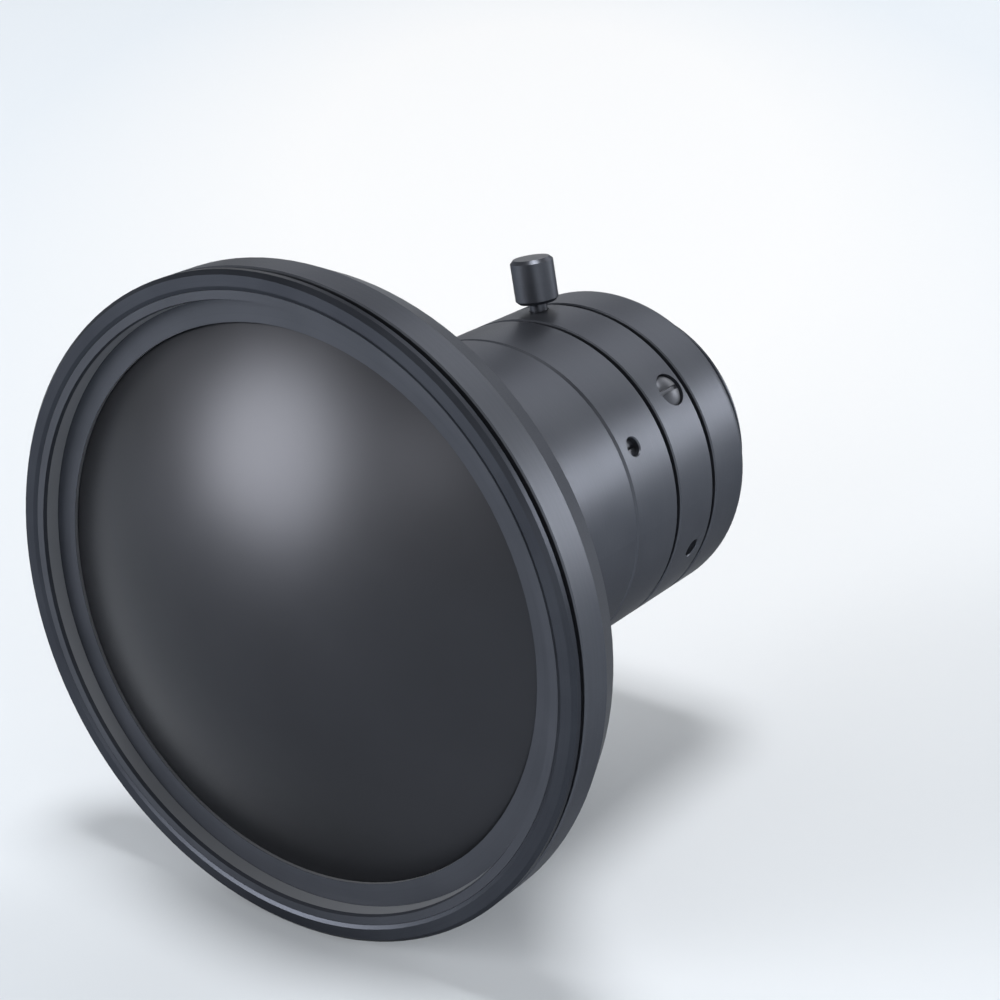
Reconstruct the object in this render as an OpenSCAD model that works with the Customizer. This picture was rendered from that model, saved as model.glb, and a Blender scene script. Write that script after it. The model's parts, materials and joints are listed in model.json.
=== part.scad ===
// C-mount lens with a large domed front element, a focus ring, an iris ring
// with a lock screw, and a six-blade iris. Millimetres.
// Origin: centre of the flange face. The lens axis runs along Y, the front
// looks towards -Y and +Z is up. Inside the modules a piece is turned about
// its own z, which points forward, and forward() lays it along the lens axis.
// Angles round the axis count from +X towards +Z.

/* [Barrel] */
// Diameter of the neck, the rings and the mount barrel
barrel_d = 29.8; // [29:0.1:32]
// Width of the fixed ring at the flange
rear_ring_w = 5.65; // [5.2:0.05:8]
// Width of the iris ring
iris_ring_w = 5.65; // [5.2:0.05:8]
// Width of the focus ring
focus_ring_w = 6.65; // [6:0.05:9]
// Width of the open grooves beside the iris ring
groove_w = 0.6; // [0.4:0.05:1]
// Depth of those grooves
groove_depth = 1.0; // [0.6:0.05:1.2]
// Gap at the fine joint in front of the focus ring
joint_gap = 0.08; // [0.04:0.01:0.2]
// Bevel on the edges beside the fine joint
joint_bevel = 0.2; // [0.05:0.05:0.4]
// Bevel on the other ring edges
edge_bevel = 0.12; // [0.05:0.01:0.3]
// Rounding of the rear edge
rear_round = 1.0; // [0.3:0.1:1.2]
// Thickness of the iris ring
ring_wall = 2.25; // [2:0.05:2.5]
// Wall of the mount barrel under the iris ring
journal_wall = 1.35; // [1.1:0.05:1.6]
// Step down to the smaller journal in front
journal_step = 0.6; // [0.5:0.05:0.8]
// Length of the journal inside the focus ring
journal_len = 2.2; // [2:0.05:3]
// Wall of the front barrel's tail
tail_wall = 1.4; // [1.1:0.05:1.8]
// Wall of the neck round the inner elements
neck_wall = 3.9; // [3.6:0.05:4.5]
// Wall of the helicoid ring over the journal
helicoid_wall = 0.95; // [0.85:0.05:1.2]
// How far the helicoid thread stands above the journal
helicoid_step = 0.25; // [0.15:0.05:0.4]
// Depth of the pocket in the neck for the helicoid ring
pocket_len = 3.1; // [2.8:0.05:4]
// Free length in front of the helicoid ring
pocket_room = 0.8; // [0.5:0.05:1.2]

/* [Front] */
// Diameter over the rim and the bezel
front_d = 56.2; // [55:0.1:60]
// Length of the neck in front of the fine joint
neck_len = 12.5; // [11:0.1:14]
// Length of the cone behind the rim
cone_len = 10.35; // [9.5:0.05:12]
// How far in from the rim the cone ends
cone_top_in = 4.6; // [4:0.1:6]
// Radius of the blend from neck to cone
neck_blend = 4; // [1:0.5:5]
// Blend where the cone meets the back of the rim
rim_blend = 0.6; // [0.2:0.1:1]
// Wall of the cone round the second element
cone_wall = 1.55; // [1.2:0.05:2]
// Edge left on the back of the rim
back_edge = 0.4; // [0.2:0.05:0.6]
// Length of the bevel at the back of the rim
rim_bevel_len = 2.65; // [2.3:0.05:3]
// How far that bevel runs in
rim_bevel_in = 1.1; // [0.4:0.1:1.5]
// Length of the straight part of the rim
rim_len = 2.85; // [2.5:0.05:5]
// Width of the groove behind the bezel
bezel_groove_w = 0.65; // [0.4:0.05:1]
// Depth of that groove
bezel_groove_depth = 0.7; // [0.4:0.05:0.8]
// Thickness of the bezel's outer flange
bezel_t = 0.8; // [0.6:0.05:1.5]
// Bevel on the bezel's outer edge
bezel_bevel = 0.35; // [0.1:0.05:0.5]
// Width of the bezel's front face
bezel_face_w = 0.9; // [0.6:0.05:1.0]
// Width of the bevel inside that face
bezel_inner_bevel = 0.3; // [0.15:0.05:0.4]
// Length of the bezel's thread in the rim
bezel_len = 1.8; // [1.5:0.05:2.2]
// Width of the retaining ring, from the bezel in to the clear dome
ring_w = 2.87; // [2.4:0.05:3.2]
// Width of the outer land of the retaining ring
ring_land_w = 0.7; // [0.4:0.05:0.8]
// How far that land lies behind the front plane
ring_land_drop = 0.15; // [0.05:0.05:0.4]
// Bevel under the inner edge of that land
ring_land_bevel = 0.35; // [0.1:0.05:0.5]
// Draft of the wall between land and ledge
ring_draft = 0.1; // [0:0.05:0.2]
// Thickness of the ring's lip over the glass
ring_lip_t = 0.33; // [0.2:0.01:0.5]

/* [Lens elements] */
// How far in from the rim the edge of the front element lies
front_el_in = 3.1; // [2.9:0.05:3.6]
// Thickness of the front element at its edge
front_el_edge = 3.5; // [3.0:0.05:3.6]
// How far that edge stands above the bezel's seat
glass_proud = 0.3; // [0.2:0.05:0.5]
// Radius of the dome
dome_r = 44.5; // [40:0.5:60]
// Radius of the hollow behind the dome
front_hollow_r = 19.75; // [19:0.05:22]
// Diameter of the hollow's mouth
front_hollow_d = 32; // [28:0.5:34]
// Width of the seat under the front element
front_shelf = 5; // [4:0.1:6]
// Distance from the inner retaining ring to the seat of the second element
second_gap = 1.85; // [1.6:0.05:2.4]
// Thickness of the second element at its edge
second_el_edge = 2.5; // [2:0.1:2.8]
// Radius of its front
second_front_r = 24; // [22:0.5:30]
// Radius of its hollow
second_hollow_r = 11; // [10.5:0.1:14]
// Diameter of its hollow's mouth
second_hollow_d = 20; // [18:0.5:21]
// Width of its seat
second_shelf = 4; // [3:0.1:4.5]
// Width of its retaining ring over the glass
second_ring_w = 1.1; // [0.8:0.05:1.5]
// How far that ring's thread stands out from the glass
second_ring_step = 0.55; // [0.4:0.05:0.8]
// Length of that ring
second_ring_len = 1.8; // [1.4:0.05:2.2]
// Distance from the end of the helicoid pocket to the seat of the fourth element
inner_seat_gap = 1.65; // [1.2:0.05:2]
// Thickness of the third element at its edge
third_el_edge = 2.95; // [2.6:0.05:3.2]
// Radius of its hollow front
third_hollow_r = 25; // [22:0.5:40]
// Width of the flat rim round that hollow
third_rim_w = 1.4; // [1.2:0.05:2.5]
// Thickness of the fourth element at its edge
fourth_el_edge = 2.4; // [2:0.1:3]
// Radius of its domed front
fourth_front_r = 22; // [20:0.5:40]
// Length of the spacer between them at its wall
front_spacer_len = 3.6; // [3.4:0.1:5]
// Thickness of the spacers' walls
spacer_wall = 1.0; // [0.7:0.05:1.2]
// Length of the retaining ring in front of the third element
inner_ring_len = 1.2; // [0.8:0.05:1.6]
// Thickness of the crown at its edge
crown_edge = 1.4; // [1:0.1:1.6]
// Radius of the crown's front
crown_front_r = 22; // [20:0.5:40]
// Radius of the cemented surface
cement_r = 20; // [18:0.5:40]
// Thickness of the flint at its edge
flint_edge = 2.7; // [2.4:0.1:3]
// Length of the rear spacer
rear_spacer_len = 0.9; // [0.6:0.1:1.2]
// Thickness of the rear element at its edge
rear_el_edge = 1.2; // [0.8:0.1:1.4]
// Radius of the rear element's back
rear_back_r = 25; // [22:0.5:40]
// Length of the cell behind the rear element
rear_rim_len = 1.3; // [1.1:0.05:1.6]
// How far the rear retaining ring is sunk in the cell
rear_ring_sink = 0.2; // [0.1:0.05:0.3]

/* [Fits] */
// Radial clearance of every running fit
run = 0.05; // [0.03:0.01:0.08]
// Radial clearance of parts seated in a bore
seat = 0.03; // [0.02:0.01:0.06]
// Radial clearance round the glass
glass_gap = 0.06; // [0.03:0.01:0.1]
// End play between turning rings and their shoulders
end_play = 0.05; // [0.03:0.01:0.1]

/* [Mount] */
// Outer diameter of the mount thread
mount_thread_d = 25.4; // [25.4:0.1:25.6]
// Length of the mount thread behind the flange
mount_thread_len = 3.8; // [3.6:0.1:4.2]
// Bevel on the end of the thread
mount_bevel = 0.5; // [0.2:0.1:0.8]
// Step from the thread in to the spigot
spigot_in = 1.1; // [0.8:0.05:1.2]
// Length of the collar at the root of the thread, let into the flange
collar_len = 0.5; // [0.3:0.05:0.8]
// How far that collar stands out past the thread
collar_out = 0.4; // [0.3:0.05:0.4]
// Length of the spigot
spigot_len = 2.2; // [1.6:0.1:2.6]
// Wall of the thread ring
mount_wall = 2.52; // [2.3:0.02:3]
// Wall of the rear lens cell
cell_wall = 2.15; // [1.9:0.05:2.4]
// Step in the outside of the cell at its rear end
cell_neck_in = 0.8; // [0.5:0.05:1]
// Length of that step
cell_neck_len = 1.2; // [0.8:0.05:1.5]
// Width of the lip in front of the crown
cell_lip_w = 1.1; // [0.8:0.05:1.3]
// Thickness of that lip at the bore
cell_lip_t = 1.15; // [0.9:0.05:1.4]
// Width of the spanner notches in the rear retaining ring
notch_w = 1.0; // [0.6:0.05:1.4]
// Depth of those notches
notch_depth = 0.4; // [0.2:0.05:0.6]

/* [Iris] */
// Turn of the iris ring from open to closed, degrees
iris_turn = 56; // [40:1:57]
// Swing of each blade over that turn, degrees
blade_swing = 35; // [20:1:35]
// Wall of the iris housing
housing_wall = 0.62; // [0.5:0.02:0.7]
// Thickness of the housing's floor
floor_t = 0.8; // [0.6:0.05:1]
// Distance of the blade pivots from the housing's wall
pivot_in = 1.2; // [1.1:0.05:1.3]
// Distance from the pivots in to the edge of the open aperture
blade_reach = 3.05; // [2.9:0.05:3.3]
// Width of the blade's curved body
blade_w = 1.95; // [1.6:0.05:2.1]
// Thickness of a blade
blade_t = 0.12; // [0.08:0.01:0.15]
// Distance from one blade's level to the next
blade_step = 0.2; // [0.17:0.01:0.22]
// Free height under the lowest blade
blade_under = 0.1; // [0.05:0.01:0.15]
// Free height over the highest blade
blade_over = 0.18; // [0.1:0.01:0.25]
// Angle from the pivot to the drive stud, seen from the lens axis
stud_angle = 16; // [14:1:18]
// Angle over which a blade's body runs
blade_span = 98; // [80:1:100]
// Radius of the blade's ear round its pivot
pivot_ear = 0.8; // [0.7:0.05:0.9]
// Radius of the ear round its drive stud
drive_ear = 0.7; // [0.6:0.05:0.8]
// Diameter of the pivot stud
pivot_stud_d = 0.8; // [0.6:0.05:0.9]
// Diameter of the drive stud
drive_stud_d = 0.7; // [0.5:0.05:0.8]
// How far the drive stud ends short of the cam slot's front
drive_stud_short = 0.5; // [0.2:0.05:0.8]
// Thickness of the ring with the cam slots
actuator_t = 1.7; // [1.5:0.05:1.9]
// How far its bore lies outside the open aperture
actuator_bore_out = 0.25; // [0.1:0.05:0.4]
// Thickness of the iris cover
cover_t = 0.5; // [0.3:0.05:0.7]
// Gap between the iris cover and the tail of the front barrel
tail_gap = 0.15; // [0.1:0.05:0.3]
// Angle from the guide screw back to the first blade pivot
pivot_back = 24; // [22:1:26]

/* [Screws] */
// Distance of the iris ring's screws from its front face
iris_screw_in = 3.65; // [3.3:0.05:3.8]
// Diameter of the tapped holes
tapped_d = 1.7; // [1.6:0.05:1.9]
// Countersink at the mouth of the tapped holes
tapped_sink = 0.12; // [0.05:0.01:0.2]
// Diameter of the lock screw's head
lock_head_d = 3.98; // [3:0.1:5]
// Height of that head
lock_head_h = 4.1; // [3:0.1:6]
// Height of the bare neck under it
lock_neck_h = 0.75; // [0.4:0.05:1.5]
// Bevel on the head's ends
lock_head_bevel = 0.31; // [0.1:0.01:0.5]
// Bevel on the lock screw's tip
lock_tip_bevel = 0.2; // [0.1:0.05:0.4]
// Angle of the lock screw round the axis
lock_angle = 100.8; // [95:0.1:105]
// Diameter of the guide screw's head
guide_head_d = 3.1; // [2.6:0.05:3.2]
// How far the head's crown stands out of the ring
guide_proud = 0.25; // [0:0.05:0.4]
// Height of the head's crown
guide_crown_h = 0.6; // [0.3:0.05:0.8]
// Diameter of the guide screw's tip
guide_tip_d = 1.0; // [0.8:0.05:1.1]
// How far the tip reaches into the actuator
guide_tip_in = 0.5; // [0.3:0.05:0.55]
// Clearance round the guide screw's head in its counterbore
guide_head_gap = 0.05; // [0.03:0.01:0.1]
// Depth of the counterbore
guide_sink = 1.0; // [0.8:0.05:1.2]
// Width of the slot in the guide screw
slot_w = 0.42; // [0.3:0.02:0.5]
// Depth of that slot below the ring's surface
slot_depth = 0.35; // [0.2:0.05:0.5]
// Width of the slots in the set screws
set_slot_w = 0.28; // [0.2:0.02:0.4]
// Depth of those slots
set_slot_depth = 0.3; // [0.2:0.05:0.5]
// How deep the set screws lie below the surface
set_sink = 0.6; // [0.3:0.05:0.8]
// How far the focus set screws bite into the helicoid ring
set_bite = 0.4; // [0.2:0.05:0.5]
// Distance of the focus ring's set screws from its front face
focus_screw_in = 2.1; // [1.8:0.05:2.6]
// Angle of the first focus set screw
focus_screw_angle = 29.6; // [20:0.1:40]
// Diameter of the focus guide pin
guide_pin_d = 1.5; // [1:0.1:1.8]
// Distance of that pin from the back of the focus ring
guide_pin_in = 0.9; // [0.8:0.05:1.1]
// Gap between the tip of that pin and the bore of the tail
guide_pin_gap = 0.5; // [0.3:0.05:0.7]
// Thickness of the lip inside the helicoid ring
lip_t = 0.9; // [0.7:0.05:1.1]
// Thickness of the ring that keeps it
keeper_t = 0.95; // [0.7:0.05:1.2]

/* [Hidden] */

$fn = 96;
round_steps = 6;
blade_count = 6;
// Overshoot of the cutters
cut = 1;
// Gap left where a ring rests on curved glass, and between pressed pieces
film = 0.03;
// Room at the closed end of the tail's slot and in front of its thread
tail_room = 0.5;
// Widening of the neck's pocket round the helicoid ring
pocket_gap = 0.1;

// Radii from the outside in
barrel_r = barrel_d / 2;
front_r = front_d / 2;
groove_r = barrel_r - groove_depth;
journal_r = barrel_r - ring_wall - run;
front_journal_r = journal_r - journal_step;
guide_bore_r = journal_r - journal_wall;
tail_r = guide_bore_r - run;
tail_bore_r = tail_r - tail_wall;
inner_bore_r = barrel_r - neck_wall;
mount_thread_r = mount_thread_d / 2;
collar_r = mount_thread_r + collar_out;
spigot_r = mount_thread_r - spigot_in;
mount_bore_r = mount_thread_r - mount_wall;
rear_cell_r = mount_bore_r - seat;
tapped_r = tapped_d / 2;
screw_r = tapped_r - seat;

// Stations along the axis, counted forward from the flange face
iris_z0 = rear_ring_w + groove_w;
iris_z1 = iris_z0 + iris_ring_w;
focus_z0 = iris_z1 + groove_w;
focus_z1 = focus_z0 + focus_ring_w;
neck_z = focus_z1 + joint_gap;
cone_z = neck_z + neck_len;
rim_back_z = cone_z + cone_len;
bevel_z = rim_back_z + back_edge;
rim_z = bevel_z + rim_bevel_len;
rim_front_z = rim_z + rim_len;
bezel_z = rim_front_z + bezel_groove_w;
front_z = bezel_z + bezel_t;
iris_screw_z = iris_z1 - iris_screw_in;
focus_screw_z = focus_z1 - focus_screw_in;
guide_pin_z = focus_z0 + guide_pin_in;

// Helicoid ring and what holds it
helicoid_r = journal_r + run + helicoid_wall;
lip_z = focus_z0 + journal_len;
lip_r = front_journal_r + run;
keeper_z = lip_z + lip_t + end_play;
sleeve_z = keeper_z + keeper_t;
male_thread_r = journal_r + helicoid_step;
female_thread_r = male_thread_r + run;
male_z = sleeve_z + tail_room;
pocket_z = neck_z + pocket_len;
helicoid_z1 = pocket_z - pocket_room;

// Iris stack, laid out from the guide screw that turns the actuator
housing_r = guide_bore_r - seat;
housing_in_r = housing_r - housing_wall;
actuator_z0 = iris_screw_z - actuator_t / 2;
actuator_z1 = actuator_z0 + actuator_t;
blade_z = actuator_z0 - blade_over - blade_t - (blade_count - 1) * blade_step;
floor_z = blade_z - blade_under;
iris_seat_z = floor_z - floor_t;
housing_z1 = actuator_z1 + end_play;
cover_z1 = housing_z1 + cover_t;
tail_z = cover_z1 + tail_gap;
pivot_r = housing_in_r - pivot_in;
aperture_r = pivot_r - blade_reach;
cover_in_r = aperture_r + actuator_bore_out;
actuator_r = housing_in_r - run;
guide_angle = lock_angle - 60;
first_pivot = guide_angle - pivot_back;
stud_reach = 2 * pivot_r * sin(stud_angle / 2);
stud_run = 90 + stud_angle / 2;

// Third and fourth elements in the neck
inner_el_r = inner_bore_r - glass_gap;
inner_seat_z = pocket_z + inner_seat_gap;
fourth_z1 = inner_seat_z + fourth_el_edge;
fourth_c = fourth_z1 - sqrt(fourth_front_r ^ 2 - inner_el_r ^ 2);
third_z0 = fourth_z1 + front_spacer_len;
third_z1 = third_z0 + third_el_edge;
inner_ring_z1 = third_z1 + inner_ring_len;

// Cone and the second element inside it
cone_top_r = front_r - cone_top_in;
cone_slope = (cone_top_r - barrel_r) / cone_len;
cone_angle = atan(cone_slope);
second_seat_z = inner_ring_z1 + second_gap;
second_bore_r = barrel_r + (second_seat_z - cone_z) * cone_slope - cone_wall;
second_el_r = second_bore_r - glass_gap;
second_z1 = second_seat_z + second_el_edge;
second_c = second_z1 - sqrt(second_front_r ^ 2 - second_el_r ^ 2);
second_ring_r = second_bore_r + second_ring_step;

// Front element and the rings round it
front_el_r = front_r - front_el_in;
front_bore_r = front_el_r + glass_gap;
bezel_in_r = front_r - bezel_bevel - bezel_face_w - bezel_inner_bevel;
bezel_neck_r = front_r - bezel_groove_depth;
bezel_seat_z = rim_front_z - bezel_len;
front_el_z1 = bezel_seat_z + glass_proud;
front_seat_z = front_el_z1 - front_el_edge;
dome_c = front_el_z1 - sqrt(dome_r ^ 2 - front_el_r ^ 2);
ring_r = bezel_in_r - seat;
ring_clear_r = ring_r - ring_w;
ring_rest_r = front_el_r - 2 * ring_draft;

// Rear group
rear_bore_r = rear_cell_r - cell_wall;
rear_el_r = rear_bore_r - glass_gap;
cell_z1 = iris_seat_z - end_play;
crown_z1 = cell_z1 - cell_lip_t;
crown_z0 = crown_z1 - crown_edge;
crown_c = crown_z1 - sqrt(crown_front_r ^ 2 - rear_el_r ^ 2);
cement_c = crown_z0 + sqrt(cement_r ^ 2 - rear_el_r ^ 2);
flint_z0 = crown_z0 - flint_edge;
rear_el_z1 = flint_z0 - rear_spacer_len;
rear_el_z0 = rear_el_z1 - rear_el_edge;
rear_c = rear_el_z0 + sqrt(rear_back_r ^ 2 - rear_el_r ^ 2);
rear_cell_z0 = rear_el_z0 - rear_rim_len;

// Colours
slate = [0.27, 0.29, 0.32];
dark_slate = [0.20, 0.21, 0.23];
inner_black = [0.12, 0.12, 0.13];
glass_grey = [0.34, 0.36, 0.39];
steel = [0.62, 0.63, 0.65];
brass = [0.72, 0.60, 0.35];

// Lays a piece that is turned about z along the lens axis, front forward
module forward() {
    rotate([90, 0, 0])
        children();
}

// Turns an outline of [radius, forward] points about the lens axis
module turned(outline) {
    forward()
        rotate_extrude()
            polygon(outline);
}

// Points on an arc
function arc(c, r, a0, a1, n = round_steps) =
    [for (i = [0:n]) let (a = a0 + (a1 - a0) * i / n) [c[0] + r * cos(a), c[1] + r * sin(a)]];

// A point at a radius and an angle
function polar(r, a) = [r * cos(a), r * sin(a)];

// Height on a sphere of radius r about a centre on the axis, at distance d from the axis
function on_sphere(c, r, d) = c + sqrt(r ^ 2 - d ^ 2);

// Puts a piece that stands along its own z on a radius at angle a, at station z
module radial(a, z) {
    forward()
        translate([0, 0, z])
            rotate([0, 0, a])
                rotate([0, 90, 0])
                    children();
}

// A round pin along a radius, from r0 to r1
module radial_pin(a, z, r0, r1, r) {
    radial(a, z)
        translate([0, 0, r0])
            cylinder(r = r, h = r1 - r0);
}

// A slot round the axis for a pin that travels from angle a0 to a1, cut from r0 to r1
module arc_slot(a0, a1, z, r0, r1, w) {
    over = asin(w / 2 / r0);
    forward()
        rotate([0, 0, a0 - over])
            rotate_extrude(angle = a1 - a0 + 2 * over)
                translate([r0, z - w / 2])
                    square([r1 - r0, w]);
}

// Mount barrel: rear ring with the flange face, journals for the rings, and the guide bore
module mount_barrel() {
    color(slate)
        difference() {
            turned(concat(
                [[collar_r + seat, collar_len],
                [collar_r + seat, 0]],
                arc([barrel_r - rear_round, rear_round], rear_round, -90, 0),
                [[barrel_r, rear_ring_w - edge_bevel],
                [barrel_r - edge_bevel, rear_ring_w],
                [groove_r, rear_ring_w],
                [groove_r, iris_z0 - end_play],
                [journal_r, iris_z0 - end_play],
                [journal_r, lip_z - end_play],
                [front_journal_r, lip_z - end_play],
                [front_journal_r, sleeve_z],
                [guide_bore_r, sleeve_z],
                [guide_bore_r, iris_seat_z],
                [mount_bore_r, iris_seat_z],
                [mount_bore_r, spigot_len],
                [spigot_r + seat, spigot_len],
                [spigot_r + seat, collar_len]]
            ));
            arc_slot(guide_angle, guide_angle + iris_turn, iris_screw_z,
                guide_bore_r - cut, journal_r + cut, guide_tip_d + 2 * run);
            radial_pin(270, guide_pin_z, guide_bore_r - cut, journal_r + cut, guide_pin_d / 2 + film);
        }
}

// C-mount thread, screwed into the mount barrel by its spigot
module mount_thread_ring() {
    color(dark_slate)
        turned([
            [mount_bore_r, -mount_thread_len],
            [mount_thread_r - mount_bevel, -mount_thread_len],
            [mount_thread_r, mount_bevel - mount_thread_len],
            [mount_thread_r, 0],
            [collar_r, 0],
            [collar_r, collar_len],
            [spigot_r, collar_len],
            [spigot_r, spigot_len],
            [mount_bore_r, spigot_len]
        ]);
}

// Cell that holds the rear elements
module rear_cell() {
    lip_in = rear_bore_r - cell_lip_w;
    step_z = rear_cell_z0 + cell_neck_len;
    color(inner_black)
        turned([
            [rear_bore_r, rear_cell_z0],
            [rear_cell_r - cell_neck_in, rear_cell_z0],
            [rear_cell_r - cell_neck_in, step_z],
            [rear_cell_r, step_z],
            [rear_cell_r, cell_z1],
            [lip_in, cell_z1],
            [lip_in, on_sphere(crown_c, crown_front_r, lip_in) + film],
            [rear_bore_r, crown_z1 + film]
        ]);
}

// Front half of the cemented rear doublet, domed on both sides
module rear_doublet_crown() {
    color(glass_grey)
        forward()
            intersection() {
                translate([0, 0, flint_z0])
                    cylinder(r = rear_el_r, h = crown_front_r);
                translate([0, 0, crown_c])
                    sphere(r = crown_front_r);
                translate([0, 0, cement_c])
                    sphere(r = cement_r);
            }
}

// Rear half of the doublet, hollowed to fit the crown
module rear_doublet_flint() {
    color(glass_grey)
        forward()
            difference() {
                translate([0, 0, flint_z0])
                    cylinder(r = rear_el_r, h = flint_edge + cut);
                translate([0, 0, cement_c])
                    sphere(r = cement_r);
            }
}

// Spacer between the doublet and the rear element
module rear_spacer() {
    color(inner_black)
        turned([
            [rear_el_r - spacer_wall, rear_el_z1],
            [rear_el_r, rear_el_z1],
            [rear_el_r, flint_z0],
            [rear_el_r - spacer_wall, flint_z0]
        ]);
}

// Rear element, flat in front and domed behind
module rear_element() {
    color(glass_grey)
        forward()
            intersection() {
                translate([0, 0, rear_cell_z0])
                    cylinder(r = rear_el_r, h = rear_el_z1 - rear_cell_z0);
                translate([0, 0, rear_c])
                    sphere(r = rear_back_r);
            }
}

// Threaded ring behind the rear element, with two spanner notches
module rear_retaining_ring() {
    in_r = rear_bore_r - spacer_wall;
    under = rear_c - sqrt(rear_back_r ^ 2 - in_r ^ 2) - film;
    z0 = rear_cell_z0 + rear_ring_sink;
    color(inner_black)
        difference() {
            turned([
                [in_r, z0],
                [rear_bore_r - seat, z0],
                [rear_bore_r - seat, rear_el_z0 - film],
                [in_r, under]
            ]);
            for (a = [0, 180])
                radial(a, z0)
                    translate([-notch_depth, -notch_w / 2, in_r - cut])
                        cube([2 * notch_depth, notch_w, spacer_wall + 2 * cut]);
        }
}

// Cup that carries the blade pivots, seated on the shoulder in the mount barrel
module iris_housing() {
    color(brass)
        difference() {
            turned([
                [aperture_r, iris_seat_z],
                [housing_r, iris_seat_z],
                [housing_r, housing_z1],
                [housing_in_r, housing_z1],
                [housing_in_r, floor_z],
                [aperture_r, floor_z]
            ]);
            forward()
                for (i = [0:blade_count - 1])
                    rotate([0, 0, first_pivot + i * 360 / blade_count])
                        translate([pivot_r, 0, iris_seat_z - cut])
                            cylinder(r = pivot_stud_d / 2 + run, h = floor_z - iris_seat_z + 2 * cut);
            arc_slot(guide_angle, guide_angle + iris_turn, iris_screw_z,
                housing_in_r - cut, housing_r + cut, guide_tip_d + 2 * run);
        }
}

// Plate that closes the iris in front
module iris_cover() {
    color(inner_black)
        turned([
            [cover_in_r, housing_z1],
            [housing_r, housing_z1],
            [housing_r, cover_z1],
            [cover_in_r, cover_z1]
        ]);
}

// Threaded ring that keeps the iris ring on its journal
module iris_retaining_ring() {
    color(dark_slate)
        turned([
            [journal_r + seat, iris_z1 + end_play],
            [groove_r, iris_z1 + end_play],
            [groove_r, focus_z0 - end_play],
            [journal_r + seat, focus_z0 - end_play]
        ]);
}

// Threaded ring that keeps the helicoid ring on the mount barrel
module focus_retaining_ring() {
    color(brass)
        turned([
            [front_journal_r + seat, keeper_z],
            [journal_r, keeper_z],
            [journal_r, sleeve_z],
            [front_journal_r + seat, sleeve_z]
        ]);
}

// Pin in the mount barrel that keeps the front group from turning
module focus_guide_pin() {
    color(steel)
        radial_pin(270, guide_pin_z, tail_bore_r + guide_pin_gap, journal_r, guide_pin_d / 2);
}

// Iris ring with three tapped holes and the counterbored hole of the guide screw
module iris_ring() {
    in_r = journal_r + run;
    color(slate)
        difference() {
            turned([
                [in_r, iris_z0],
                [barrel_r - edge_bevel, iris_z0],
                [barrel_r, iris_z0 + edge_bevel],
                [barrel_r, iris_z1 - edge_bevel],
                [barrel_r - edge_bevel, iris_z1],
                [in_r, iris_z1]
            ]);
            for (a = [lock_angle, lock_angle + 120, lock_angle + 240])
                tapped_hole(a, iris_screw_z, in_r);
            radial_pin(guide_angle, iris_screw_z, in_r - cut, barrel_r, tapped_r);
            radial_pin(guide_angle, iris_screw_z, barrel_r - guide_sink, barrel_r + cut,
                guide_head_d / 2 + guide_head_gap);
        }
}

// A tapped hole through a ring, with a small countersink
module tapped_hole(a, z, in_r) {
    radial_pin(a, z, in_r - cut, barrel_r + cut, tapped_r);
    radial(a, z)
        translate([0, 0, barrel_r - tapped_sink])
            cylinder(r1 = tapped_r, r2 = tapped_r + 2 * tapped_sink, h = 2 * tapped_sink);
}

// Slotted screw that carries the iris actuator round through the slot
module iris_guide_screw() {
    head_r = guide_head_d / 2;
    head_z = barrel_r - guide_sink;
    top_z = barrel_r + guide_proud;
    crown_r = (head_r ^ 2 + guide_crown_h ^ 2) / (2 * guide_crown_h);
    color(slate)
        difference() {
            union() {
                radial_pin(guide_angle, iris_screw_z, actuator_r - guide_tip_in, head_z, guide_tip_d / 2);
                radial_pin(guide_angle, iris_screw_z, journal_r + 2 * run, head_z, screw_r);
                radial(guide_angle, iris_screw_z)
                    intersection() {
                        translate([0, 0, head_z])
                            cylinder(r = head_r, h = top_z - head_z + cut);
                        translate([0, 0, top_z - crown_r])
                            sphere(r = crown_r);
                    }
            }
            radial(guide_angle, iris_screw_z)
                translate([-head_r - cut, -slot_w / 2, barrel_r - slot_depth])
                    cube([2 * head_r + 2 * cut, slot_w, slot_depth + cut]);
        }
}

// A headless screw with a slot, from r0 out to r1
module set_screw(a, z, r0, r1) {
    color(dark_slate)
        difference() {
            radial_pin(a, z, r0, r1, screw_r);
            radial(a, z)
                translate([-screw_r - cut, -set_slot_w / 2, r1 - set_slot_depth])
                    cube([2 * screw_r + 2 * cut, set_slot_w, set_slot_depth + cut]);
        }
}

// Set screws in the two tapped holes that the lock screw leaves free
module iris_set_screws() {
    for (a = [lock_angle + 120, lock_angle + 240])
        set_screw(a, iris_screw_z, journal_r + 2 * run, barrel_r - set_sink);
}

// Thumb screw that locks the iris ring on its journal
module iris_lock_screw() {
    head_r = lock_head_d / 2;
    head_z = barrel_r + lock_neck_h;
    color(slate)
        radial(lock_angle, iris_screw_z)
            rotate_extrude()
                polygon([
                    [0, journal_r + run],
                    [screw_r - lock_tip_bevel, journal_r + run],
                    [screw_r, journal_r + run + lock_tip_bevel],
                    [screw_r, head_z],
                    [head_r - lock_head_bevel, head_z],
                    [head_r, head_z + lock_head_bevel],
                    [head_r, head_z + lock_head_h - lock_head_bevel],
                    [head_r - lock_head_bevel, head_z + lock_head_h],
                    [0, head_z + lock_head_h]
                ]);
}

// Where a blade's drive stud is, from the lens axis, once the blade has swung by b
function stud_at(b) = [pivot_r, 0] + polar(stud_reach, stud_run + b);

// The same point seen from the actuator, which has turned further by then
function turn(p, a) = [p[0] * cos(a) - p[1] * sin(a), p[0] * sin(a) + p[1] * cos(a)];
function cam_at(b) = turn(stud_at(b), -b * iris_turn / blade_swing);

// Direction in which the slot runs there
function cam_heading(b) = let (d = cam_at(b + 0.5) - cam_at(b - 0.5)) atan2(d[1], d[0]);

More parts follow.
